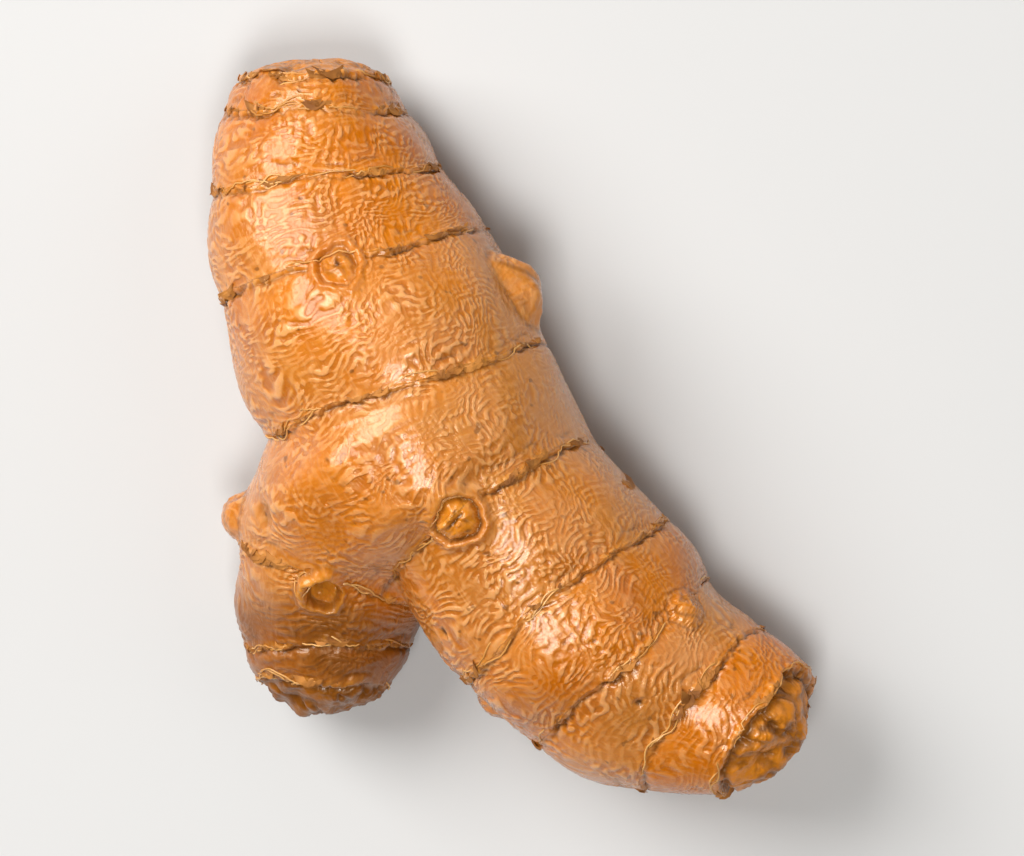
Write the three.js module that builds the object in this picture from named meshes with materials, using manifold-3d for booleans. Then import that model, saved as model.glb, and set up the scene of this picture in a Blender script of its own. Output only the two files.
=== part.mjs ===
// A fresh turmeric rhizome, grown as one piece: a bent main finger ringed by leaf scars, a short
// side finger that forks from its flank, and buds that stand on the skin.
// Millimetres, +Z up. It lies on Z = 0, with the origin under the middle of its bounding box.
import * as THREE from 'three';
import { mergeVertices } from 'three/addons/utils/BufferGeometryUtils.js';
import Module from 'manifold-3d';

const wasm = await Module();
wasm.setup();

// Middle line of each finger from its first end to its tip: x, y, z and the half width there.
const mainLine = [
  [-17.9, 33.4, 9.4, 5.6],
  [-17.5, 25.7, 9.1, 9.4],
  [-15.6, 17.4, 10.4, 11.3],
  [-11.9, 9.3, 12.6, 12.6],
  [-7.2, 1.0, 13.1, 12.2],
  [-1.4, -7.0, 12.0, 11.2],
  [5.0, -15.4, 11.1, 11.3],
  [11.4, -21.6, 9.4, 10.4],
  [17.9, -24.8, 9.5, 8.2],
  [26.6, -28.0, 10.9, 6.0],
];
const sideLine = [
  [-8.2, 0.7, 13.0, 9.6],
  [-13.8, -7.0, 11.2, 9.3],
  [-16.4, -13.8, 8.4, 8.3],
  [-17.1, -20.3, 6.2, 7.0],
  [-17.2, -26.8, 5.9, 4.2],
];
const flattening = 0.95; // height of a finger's section over its width

// Where the side finger joins: its skin runs over into the main finger's between these distances
// along the main line, rounded over this reach.
const forkStart = 29.6;
const forkEnd = 45.0;
const forkFade = 5;
const forkReach = 11;
const forkRoot = 7; // the side finger is clear of the main one from this distance along its own line

// Leaf scars. at is how far along the middle line a ring crosses the top of the finger, tilt how
// much further along it lies on the right flank, and dip how much further along it lies below.
const mainRings = [
  { at: 1.5, tilt: 0.2, dip: 0.4 },
  { at: 4.6, tilt: 0.4, dip: 0.4 },
  { at: 10.7, tilt: 0.9, dip: 0.9 },
  { at: 18.4, tilt: 1.8, dip: 1.5 },
  { at: 31.2, tilt: 2.7, dip: 1.1 },
  { at: 43.4, tilt: 0.2, dip: 1.8 },
  { at: 54.5, tilt: 0.1, dip: 1.7 },
  { at: 63.3, tilt: 1.4, dip: 0.5 },
  { at: 70.0, tilt: 2.2, dip: 1.4 },
  { at: 75.6, tilt: 1.6, dip: 2.0 },
];
const sideRings = [
  { at: 2.6, tilt: 0, dip: 0 },
  { at: 16.6, tilt: 0.8, dip: 0.5 },
  { at: 23.4, tilt: -0.6, dip: 0.8 },
  { at: 27.0, tilt: 0.3, dip: 0.4 },
];
const ringWobble = 0.22; // how far a ring wanders from its even course
// How far each end stands out past its last ring.
const mainDomes = [1.7, 3.4];
const sideDomes = [1.5, 3.0];

// Skin relief at a ring and between two rings.
const lipHeight = 0.42;
const lipWidth = 0.55;
const grooveDepth = 0.5;
const grooveWidth = 0.7;
const grooveOffset = 0.95;
const swelling = 0.35;
const lumpHeight = 0.22;

// Buds. at and turn place a bud along and around its finger: turn is in degrees from the top,
// positive towards the right flank. across is its diameter and rise its height over the skin.
const mainBuds = [
  { at: 19.2, turn: 2, across: 4.8, rise: 1.1 },
  { at: 43.8, turn: -9, across: 5.2, rise: 1.7 },
  { at: 28.6, turn: 82, across: 7.0, rise: 2.2 },
  { at: 58.0, turn: -112, across: 4.6, rise: 2.4 },
  { at: 65.1, turn: 46, across: 3.4, rise: 0.8 },
  { at: 34.6, turn: 148, across: 4.8, rise: 1.3 },
  { at: 12.2, turn: -128, across: 4.2, rise: 1.1 },
];
const sideBuds = [
  { at: 18.6, turn: 2, across: 4.4, rise: 0.8 },
  { at: 14.3, turn: -84, across: 4.6, rise: 1.2 },
];
// A bud's outline from its collar to its top, as shares of its radius and its rise.
const budOutline = [
  [1.2, -0.1],
  [0.98, 0.4],
  [0.8, 0.55],
  [0.66, 0.42],
  [0.55, 0.78],
  [0.28, 1],
  [0, 1.08],
];
const budRoot = 1.1; // radius of the sunk root over the bud's own
const budSink = 1.6; // how deep the root goes below the skin
const budLean = 0.35; // how far a bud leans towards its finger's tip, over its height

// Mesh density.
const mainSides = 40;
const sideSides = 28;
const budSides = 12;
const capRows = 4;
const lineSteps = 160; // along a middle line, to measure from
const bandShares = [0, 0.05, 0.1, 0.2, 0.42, 0.68, 0.88, 0.95]; // rows between two rings

const worldUp = new THREE.Vector3(0, 0, 1);

// A finger's middle line, measured by distance along it, with its half width.
function middleOf(line) {
  const through = (points) => new THREE.CatmullRomCurve3(points, false, 'catmullrom');
  const path = through(line.map(([x, y, z]) => new THREE.Vector3(x, y, z)));
  const girth = through(line.map((entry) => new THREE.Vector3(entry[3], 0, 0)));
  const length = path.getLength();
  const share = (distance) => THREE.MathUtils.clamp(distance / length, 0, 1);
  return {
    length,
    point: (distance) => path.getPointAt(share(distance)),
    along: (distance) => path.getTangentAt(share(distance)),
    halfWidth: (distance) => girth.getPoint(path.getUtoTmapping(share(distance))).x,
  };
}

// A point on the finger's upright section at this distance, angle and radius.
function sectionPoint(middle, distance, angle, radius) {
  const right = worldUp.clone().cross(middle.along(distance)).normalize();
  return middle
    .point(distance)
    .addScaledVector(right, Math.sin(angle) * radius)
    .addScaledVector(worldUp, Math.cos(angle) * radius * flattening);
}

function ringDistance(ring, angle) {
  const course = ring.at + ring.tilt * Math.sin(angle) + ring.dip * (1 - Math.cos(angle));
  return course + ringWobble * (Math.sin(4 * angle + ring.at) + 0.6 * Math.sin(7 * angle + 2.3 * ring.at));
}

const bell = (x, width) => Math.exp(-((x / width) ** 2));

// Height over the plain section: a lip on each ring, a groove past it and a swelling in between.
function ringRelief(past, ahead) {
  const lip = lipHeight * (bell(past, lipWidth) + bell(ahead, lipWidth));
  const groove = grooveDepth * bell(past - grooveOffset, grooveWidth);
  return lip - groove + swelling * Math.sin((Math.PI * past) / (past + ahead));
}

// Slow unevenness of a grown root.
function lumps(distance, angle) {
  const slow = Math.sin(2 * angle + 0.16 * distance + 0.7);
  const quick = Math.sin(3 * angle - 0.31 * distance + 2.1);
  return lumpHeight * (slow + quick);
}

// Rows of a finger's mesh. Each lies between two rings, and the rows of an end shrink to a point.
function rowsOf(rings) {
  const last = rings.length - 1;
  const shrink = Array.from({ length: capRows }, (_, i) => Math.sin((Math.PI / 2) * (i / capRows)));
  const firstCap = shrink.map((spread) => ({ before: 0, share: 0, spread, end: 'first' }));
  const bands = rings.slice(0, last).flatMap((_, before) =>
    bandShares.map((share) => ({ before, share, spread: 1 })));
  const lastRing = { before: last - 1, share: 1, spread: 1 };
  const lastCap = shrink.map((spread) => ({ before: last - 1, share: 1, spread, end: 'last' })).reverse();
  return [...firstCap, ...bands, lastRing, ...lastCap];
}

function fingerPoint({ middle, rings, domes }, row, angle) {
  const before = ringDistance(rings[row.before], angle);
  const after = ringDistance(rings[row.before + 1], angle);
  const onSkin = THREE.MathUtils.lerp(before, after, row.share);
  const first = rings[0];
  const last = rings[rings.length - 1];
  const firstPole = first.at + first.dip - domes[0];
  const lastPole = last.at + last.dip + domes[1];
  const pole = row.end === 'first' ? firstPole : lastPole;
  const distance = row.end ? THREE.MathUtils.lerp(pole, onSkin, row.spread ** 2) : onSkin;
  const height = ringRelief(onSkin - before, after - onSkin) + lumps(onSkin, angle);
  return sectionPoint(middle, distance, angle, (middle.halfWidth(onSkin) + height) * row.spread);
}

// A closed finger: the meridians and parallels of a sphere, laid along the middle line.
function fingerGeometry(finger, sides) {
  const rows = rowsOf(finger.rings);
  const grid = new THREE.SphereGeometry(1, sides, rows.length - 1);
  for (let i = 0; i < grid.attributes.position.count; i++) {
    const row = rows[Math.floor(i / (sides + 1))];
    const side = (i % (sides + 1)) % sides;
    grid.attributes.position.setXYZ(i, ...fingerPoint(finger, row, (2 * Math.PI * side) / sides));
  }
  return grid;
}

// The middle line and half width at even steps from a distance on, to measure from.
function stationsOf({ middle }, from) {
  const steps = Array.from({ length: lineSteps + 1 }, (_, i) => (middle.length * i) / lineSteps);
  return steps
    .filter((distance) => distance >= from)
    .map((distance) => (
      { distance, centre: middle.point(distance), halfWidth: middle.halfWidth(distance) }));
}

// How far a point lies outside a finger's plain section, the way out of it, and where along.
function clearanceFrom(stations, point) {
  let nearest = { away: Infinity };
  for (const { distance, centre, halfWidth } of stations) {
    const away = point.distanceTo(centre) - halfWidth;
    if (away < nearest.away) nearest = { away, distance, centre };
  }
  return { ...nearest, out: point.clone().sub(nearest.centre).normalize() };
}

// Rounds the crease where the side finger leaves the main one: skin near both is drawn outwards.
function softenFork(geometry, mainStations, sideStations) {
  const { smoothstep } = THREE.MathUtils;
  const position = geometry.attributes.position;
  const point = new THREE.Vector3();
  for (let i = 0; i < position.count; i++) {
    point.fromBufferAttribute(position, i);
    const main = clearanceFrom(mainStations, point);
    const side = clearanceFrom(sideStations, point);
    const apart = (main.away - side.away) / forkReach;
    if (Math.abs(apart) >= 1) continue;
    const begun = smoothstep(main.distance, forkStart, forkStart + forkFade);
    const ended = smoothstep(main.distance, forkEnd - forkFade, forkEnd);
    const draw = (begun * (1 - ended) * forkReach * (1 - Math.abs(apart)) ** 2) / 4;
    const out = main.out.multiplyScalar(1 - apart).addScaledVector(side.out, 1 + apart).normalize();
    position.setXYZ(i, ...point.addScaledVector(out, draw));
  }
  return geometry;
}

// A bud: a low round collar with a domed tip standing in it, its root sunk into the finger.
function budGeometry({ middle }, { at, turn, across, rise }) {
  const radius = across / 2;
  const root = [[0, -budSink], [radius * budRoot, -budSink]];
  const outside = budOutline.map(([wide, high]) => [wide * radius, high * rise]);
  const profile = [...root, ...outside].map(([x, y]) => new THREE.Vector2(x, y));
  const skin = sectionPoint(middle, at, THREE.MathUtils.degToRad(turn), middle.halfWidth(at));
  const outward = skin.clone().sub(middle.point(at)).normalize();
  const facing = new THREE.Quaternion().setFromUnitVectors(new THREE.Vector3(0, 1, 0), outward);
  const bud = new THREE.LatheGeometry(profile, budSides).applyQuaternion(facing);
  const position = bud.attributes.position;
  const point = new THREE.Vector3();
  for (let i = 0; i < position.count; i++) {
    point.fromBufferAttribute(position, i);
    const lean = budLean * Math.max(0, point.dot(outward));
    position.setXYZ(i, ...point.addScaledVector(middle.along(at), lean).add(skin));
  }
  return bud;
}

function solidOf(geometry) {
  const bare = geometry.clone();
  bare.deleteAttribute('normal');
  bare.deleteAttribute('uv');
  const merged = mergeVertices(bare, 1e-4);
  const corners = merged.index.array;
  const kept = [];
  for (let i = 0; i < corners.length; i += 3) {
    const [a, b, c] = corners.subarray(i, i + 3);
    if (a !== b && b !== c && a !== c) kept.push(a, b, c);
  }
  return new wasm.Manifold(new wasm.Mesh({
    numProp: 3,
    vertProperties: merged.attributes.position.array,
    triVerts: new Uint32Array(kept),
  }));
}

function geometryOf(solid) {
  const mesh = solid.getMesh();
  return new THREE.BufferGeometry()
    .setAttribute('position', new THREE.BufferAttribute(mesh.vertProperties, 3))
    .setIndex(new THREE.BufferAttribute(mesh.triVerts, 1));
}

// What lies below the surface that the root rests on: it trims the belly to a few flat spots.
function belowGround() {
  const wide = 200;
  return new THREE.BoxGeometry(wide, wide, wide).translate(0, 0, -wide / 2);
}

const mainFinger = { middle: middleOf(mainLine), rings: mainRings, domes: mainDomes };
const sideFinger = { middle: middleOf(sideLine), rings: sideRings, domes: sideDomes };
const mainSolid = solidOf(fingerGeometry(mainFinger, mainSides));
const sideSolid = solidOf(fingerGeometry(sideFinger, sideSides));
const joined = geometryOf(mainSolid.add(sideSolid));
const forked = solidOf(softenFork(joined, stationsOf(mainFinger, 0), stationsOf(sideFinger, forkRoot)));
const buds = [
  ...mainBuds.map((bud) => budGeometry(mainFinger, bud)),
  ...sideBuds.map((bud) => budGeometry(sideFinger, bud)),
];
const rhizome = buds
  .map(solidOf)
  .reduce((whole, bud) => whole.add(bud), forked)
  .subtract(solidOf(belowGround()));

const skin = new THREE.MeshStandardMaterial({ color: 0xb8763a, roughness: 0.5, metalness: 0 });
const rootMesh = new THREE.Mesh(geometryOf(rhizome), skin);
rootMesh.name = 'turmeric_root';
rootMesh.geometry.computeVertexNormals();

const root = new THREE.Group();
root.add(rootMesh);

export default root;
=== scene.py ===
import math

import bmesh
import bpy
import numpy as np
from mathutils import Matrix, Vector
from mathutils.bvhtree import BVHTree


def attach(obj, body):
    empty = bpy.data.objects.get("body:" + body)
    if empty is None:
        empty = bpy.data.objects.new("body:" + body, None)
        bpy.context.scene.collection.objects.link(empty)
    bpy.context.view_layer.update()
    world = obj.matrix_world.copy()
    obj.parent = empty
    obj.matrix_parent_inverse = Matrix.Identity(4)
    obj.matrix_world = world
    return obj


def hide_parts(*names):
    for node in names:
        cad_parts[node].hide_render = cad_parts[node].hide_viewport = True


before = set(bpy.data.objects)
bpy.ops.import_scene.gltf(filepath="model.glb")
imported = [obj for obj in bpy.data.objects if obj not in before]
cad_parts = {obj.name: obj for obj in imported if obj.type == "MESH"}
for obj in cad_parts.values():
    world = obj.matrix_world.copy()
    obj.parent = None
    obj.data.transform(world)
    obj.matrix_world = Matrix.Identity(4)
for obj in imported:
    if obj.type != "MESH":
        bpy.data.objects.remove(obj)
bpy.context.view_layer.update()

mm = 0.001
up = np.array([0.0, 0.0, 1.0])

# The rhizome, in millimetres. A finger's line has x, y, z and half width, from its first end to its tip.
# A ring crosses the top at "at" along that line, lies "tilt" further on the right flank, "dip" below.
rhizome = {
    "main": {
        "line": [
            (-17.9, 33.4, 9.4, 5.6), (-17.5, 25.7, 9.1, 9.4), (-15.6, 17.4, 10.4, 11.3),
            (-11.9, 9.3, 12.6, 12.6), (-7.2, 1.0, 13.1, 12.2), (-1.4, -7.0, 12.0, 11.2),
            (5.0, -15.4, 11.1, 11.3), (11.4, -21.6, 9.4, 10.4), (17.9, -24.8, 9.5, 8.2),
            (26.6, -28.0, 10.9, 6.0),
        ],
        "rings": [
            {"at": 1.5, "tilt": 0.2, "dip": 0.4}, {"at": 4.6, "tilt": 0.4, "dip": 0.4},
            {"at": 10.7, "tilt": 0.9, "dip": 0.9}, {"at": 18.4, "tilt": 1.8, "dip": 1.5},
            {"at": 31.2, "tilt": 2.7, "dip": 1.1}, {"at": 43.4, "tilt": 0.2, "dip": 1.8},
            {"at": 54.5, "tilt": 0.1, "dip": 1.7}, {"at": 63.3, "tilt": 1.4, "dip": 0.5},
            {"at": 70.0, "tilt": 2.2, "dip": 1.4}, {"at": 75.6, "tilt": 1.6, "dip": 2.0},
        ],
        "domes": (1.7, 3.4),  # how far each end stands out past its last ring
        "sides": 186,
        "orange": [0.8, 0.95, 1.0, 0.62, 0.45, 0.3, 0.4, 0.8, 0.4, 1.0, 0.85],  # first end, bands, tip
        "still": [0.4, 0.25, 0.15, 0.05, 0.2, 0.05, 0.05, 0.2, 0.5],  # how smooth each band is
        "rightDullness": [0.0, 0.0, 0.05, 0.85, 1.0, 0.9, 0.6, 0.8, 0.0],  # and how dull on its right
    },
    "side": {
        "line": [
            (-8.2, 0.7, 13.0, 9.6), (-13.8, -7.0, 11.2, 9.3), (-16.4, -13.8, 8.4, 8.3),
            (-17.1, -20.3, 6.2, 7.0), (-17.2, -26.8, 5.9, 4.2),
        ],
        "rings": [
            {"at": 2.6, "tilt": 0.0, "dip": 0.0}, {"at": 16.6, "tilt": 0.8, "dip": 0.5},
            {"at": 23.4, "tilt": -0.6, "dip": 0.8}, {"at": 27.0, "tilt": 0.3, "dip": 0.4},
        ],
        "domes": (1.5, 3.0),
        "sides": 120,
        "orange": [0.34, 0.34, 0.6, 0.75, 0.8],
        "still": [0.2, 0.1, 0.2],
        "rightDullness": [0.4, 0.3, 0.1],
    },
    "flattening": 0.95,  # height of a section over its width
    "ringWobble": 0.22,
    "swelling": 0.35,
    "lumpHeight": 0.22,
    "rowStep": 0.257,
    "ringRows": (0.0, 0.1, 0.2, 0.31, 0.44, 0.62, 0.88),  # rows close to a ring
    "capRows": 26,
    "topCrowding": 0.35,  # how far a section's points draw together on top
    # the side finger's skin runs over into the main one's between these distances along the main line
    "forkStart": 29.6, "forkEnd": 45.0, "forkFade": 5.0, "forkReach": 11.0, "forkRoot": 7.0,
    "lipHeight": 0.34, "lipWidth": 0.3,
    "grooveDepth": 0.42, "grooveWidth": 0.2, "grooveOffset": 0.4,
    "toothLength": 0.26,  # of a ring's frayed edge
    "besideOffset": 1.15, "besideDepth": 0.16,  # a second, broken line beside a ring
    "seed": 11,
}


def smoothLine(points, samples=1600):
    # Catmull-Rom through the points, with the ends carried on
    pts = np.array(points, float)
    carried = np.vstack([2 * pts[0] - pts[1], pts, 2 * pts[-1] - pts[-2]])
    t = np.linspace(0, len(pts) - 1, samples)
    i = np.minimum(t.astype(int), len(pts) - 2)
    w = (t - i)[:, None]
    p0, p1, p2, p3 = carried[i], carried[i + 1], carried[i + 2], carried[i + 3]
    m1, m2 = (p2 - p0) / 2, (p3 - p1) / 2
    return p1 + m1 * w + (3 * (p2 - p1) - 2 * m1 - m2) * w**2 + (2 * (p1 - p2) + m1 + m2) * w**3


def prepareFinger(finger):
    line = smoothLine(finger["line"])
    steps = np.linalg.norm(np.diff(line[:, :3], axis=0), axis=1)
    finger["dist"] = np.concatenate([[0], np.cumsum(steps)])
    finger["length"] = finger["dist"][-1]
    finger["centre"] = line[:, :3]
    finger["half"] = line[:, 3]
    level = np.gradient(line[:, :3], axis=0) * (1, 1, 0)  # sections stay upright
    finger["along"] = level / np.linalg.norm(level, axis=1)[:, None]
    finger["right"] = np.cross(up, finger["along"])


for name in ("main", "side"):
    prepareFinger(rhizome[name])


def along(finger, key, u):
    values = finger[key]
    if values.ndim == 1:
        return np.interp(u, finger["dist"], values)
    return np.stack([np.interp(u, finger["dist"], values[:, k]) for k in range(3)], -1)


def sectionPoint(finger, u, angle, radius):
    side = np.sin(angle) * radius
    rise = np.cos(angle) * radius * rhizome["flattening"]
    return along(finger, "centre", u) + along(finger, "right", u) * side[..., None] + up * rise[..., None]


def ringDistance(ring, angle):
    course = ring["at"] + ring["tilt"] * np.sin(angle) + ring["dip"] * (1 - np.cos(angle))
    wander = np.sin(4 * angle + ring["at"]) + 0.6 * np.sin(7 * angle + 2.3 * ring["at"])
    return course + rhizome["ringWobble"] * wander


def bandOf(finger, u, angle):
    # which two rings a place lies between, and how far it is from the first to the second
    rings = np.array([ringDistance(r, angle) for r in finger["rings"]])
    band = np.clip((u >= rings).sum(0) - 1, 0, len(rings) - 2)
    before = np.take_along_axis(rings, band[None], 0)[0]
    after = np.take_along_axis(rings, band[None] + 1, 0)[0]
    return rings, band, np.clip((u - before) / (after - before), 0, 1)


def bandValue(values, band, share):
    # a value per band, run over into the next one's at the rings
    values = np.array(values)
    before, after = values[np.maximum(band - 1, 0)], values[np.minimum(band + 1, len(values) - 1)]
    early, late = 0.5 - share.clip(0, 0.3) / 0.6, 0.5 - (1 - share).clip(0, 0.3) / 0.6
    return values[band] * (1 - early - late) + before * early + after * late


def plainRadius(finger, u, angle):
    _, _, share = bandOf(finger, u, angle)
    lumps = np.sin(2 * angle + 0.16 * u + 0.7) + np.sin(3 * angle - 0.31 * u + 2.1)
    swelling = rhizome["swelling"] * np.sin(math.pi * share)
    return along(finger, "half", u) + swelling + rhizome["lumpHeight"] * lumps


def locate(finger, points):
    # distance along, angle and radius of each point in the finger's upright sections
    coarse = finger["centre"][::8, :2]
    u = np.empty(len(points))
    for start in range(0, len(points), 8000):
        part = points[start:start + 8000, :2]
        near = ((part[:, None] - coarse[None]) ** 2).sum(-1).argmin(1)
        u[start:start + 8000] = finger["dist"][::8][near]
    for _ in range(4):
        off = points - along(finger, "centre", u)
        u = np.clip(u + (off * along(finger, "along", u)).sum(1), 0, finger["length"])
    off = points - along(finger, "centre", u)
    side = (off * along(finger, "right", u)).sum(1)
    rise = off[:, 2] / rhizome["flattening"]
    return u, np.arctan2(side, rise), np.hypot(side, rise)


def linkPiece(name, data):
    piece = bpy.data.objects.new(name, data)
    bpy.context.collection.objects.link(piece)
    return piece


def fingerMesh(name, finger):
    sides = finger["sides"]
    angle = np.arange(sides) * 2 * math.pi / sides
    angle -= rhizome["topCrowding"] * np.sin(angle)
    rings = np.array([ringDistance(r, angle) for r in finger["rings"]])
    near = np.array(rhizome["ringRows"])
    rows = []
    for before, after in zip(rings[:-1], rings[1:]):
        squeeze = np.minimum(1, (after - before) / (3 * near[-1]))
        rows += [before + step * squeeze for step in near]
        start, end = before + near[-1] * squeeze, after - near[-1] * squeeze
        inner = max(2, math.ceil((end - start).mean() / rhizome["rowStep"]))
        rows += [start + (end - start) * k / inner for k in range(1, inner)]
        rows += [after - step * squeeze for step in near[:0:-1]]
    rows.append(rings[-1])
    skin = [sectionPoint(finger, u, angle, plainRadius(finger, u, angle)) for u in rows]
    caps = []
    for rim, ring, dome in ((rings[0], finger["rings"][0], -finger["domes"][0]),
                            (rings[-1], finger["rings"][-1], finger["domes"][1])):
        pole = ring["at"] + ring["dip"] + dome
        radius = plainRadius(finger, rim, angle)
        spreads = np.sin(math.pi / 2 * np.arange(rhizome["capRows"]) / rhizome["capRows"])
        caps.append([sectionPoint(finger, pole + (rim - pole) * s**2, angle, radius * s) for s in spreads])
    loops = caps[0][1:] + skin + caps[1][:0:-1]
    places = np.vstack([caps[0][0][:1]] + loops + [caps[1][0][:1]])
    first = lambda row: 1 + row * sides
    faces = [(0, first(0) + (k + 1) % sides, first(0) + k) for k in range(sides)]
    for row in range(len(loops) - 1):
        a, b = first(row), first(row + 1)
        faces += [(a + k, a + (k + 1) % sides, b + (k + 1) % sides, b + k) for k in range(sides)]
    a, tip = first(len(loops) - 1), len(places) - 1
    faces += [(a + k, a + (k + 1) % sides, tip) for k in range(sides)]
    mesh = bpy.data.meshes.new(name)
    mesh.from_pydata(places.tolist(), [], faces)
    bm = bmesh.new()
    bm.from_mesh(mesh)
    bmesh.ops.recalc_face_normals(bm, faces=bm.faces)
    bm.to_mesh(mesh)
    bm.free()
    return linkPiece(name, mesh)


def plainMesh(piece, name):
    # the piece with its modifiers applied, as a mesh of its own
    evaluated = piece.evaluated_get(bpy.context.evaluated_depsgraph_get())
    mesh = bpy.data.meshes.new_from_object(evaluated)
    mesh.name = name
    return mesh


def dropPiece(piece):
    mesh = piece.data
    bpy.data.objects.remove(piece)
    bpy.data.meshes.remove(mesh)


def getPlaces(mesh):
    flat = np.empty(len(mesh.vertices) * 3)
    mesh.vertices.foreach_get("co", flat)
    return flat.reshape(-1, 3)


def setPlaces(mesh, places):
    mesh.vertices.foreach_set("co", places.ravel())
    mesh.update()


def getNormals(mesh):
    flat = np.empty(len(mesh.vertices) * 3)
    mesh.vertex_normals.foreach_get("vector", flat)
    return flat.reshape(-1, 3)


def setAttribute(mesh, name, values):
    kind, field = ("FLOAT_VECTOR", "vector") if values.ndim == 2 else ("FLOAT", "value")
    layer = mesh.attributes.new(name, kind, "POINT")
    layer.data.foreach_set(field, values.astype(np.float32).ravel())


def smoothStep(low, high, x):
    t = np.clip((x - low) / (high - low), 0, 1)
    return t * t * (3 - 2 * t)


def bell(x, width):
    return np.exp(-(x / width) ** 2)


# Buds, scars and marks: where they sit, how wide they are, how far they rise and of which kind they are.
buds = [
    {"finger": "main", "at": 19.2, "turn": 2, "across": 5.0, "rise": 0.75, "kind": "eye"},
    {"finger": "main", "at": 43.8, "turn": -9, "across": 5.6, "rise": 1.4, "kind": "dome", "flap": -3.0},
    {"finger": "main", "at": 28.6, "turn": 82, "across": 6.0, "long": 1.5, "rise": 2.2, "kind": "knob",
     "ochre": 0.2},
    {"finger": "main", "at": 58.0, "turn": -112, "across": 5.4, "rise": 2.3, "kind": "knob"},
    {"finger": "main", "at": 65.1, "turn": 46, "across": 4.0, "rise": 0.8, "kind": "knob"},
    {"finger": "main", "at": 34.6, "turn": 148, "across": 5.4, "rise": 1.2, "kind": "dome"},
    {"finger": "main", "at": 12.2, "turn": -128, "across": 4.6, "rise": 1.0, "kind": "eye"},
    {"finger": "side", "at": 18.2, "turn": 2, "across": 5.0, "rise": 0.7, "kind": "socket", "flap": -2.05},
    {"finger": "side", "at": 14.3, "turn": -84, "across": 5.4, "rise": 1.6, "kind": "knob", "ochre": 0.8},
    {"finger": "side", "at": 13.0, "turn": -40, "across": 3.4, "rise": -0.55, "kind": "pit", "dark": 0.4},
    {"finger": "main", "at": 51.3, "turn": -53, "across": 1.3, "rise": -0.3, "kind": "pit"},
    {"finger": "main", "at": 66.5, "turn": -8, "across": 1.1, "rise": -0.2, "kind": "pit"},
]


def placeBud(bud):
    finger = rhizome[bud["finger"]]
    u, angle = np.array([float(bud["at"])]), np.array([math.radians(bud["turn"])])
    centre = sectionPoint(finger, u, angle, plainRadius(finger, u, angle))[0]
    out = centre - along(finger, "centre", u)[0]
    out /= np.linalg.norm(out)
    tip = along(finger, "along", u)[0]
    tip = tip - out * (tip @ out)
    tip /= np.linalg.norm(tip)
    return centre, out, tip


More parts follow.
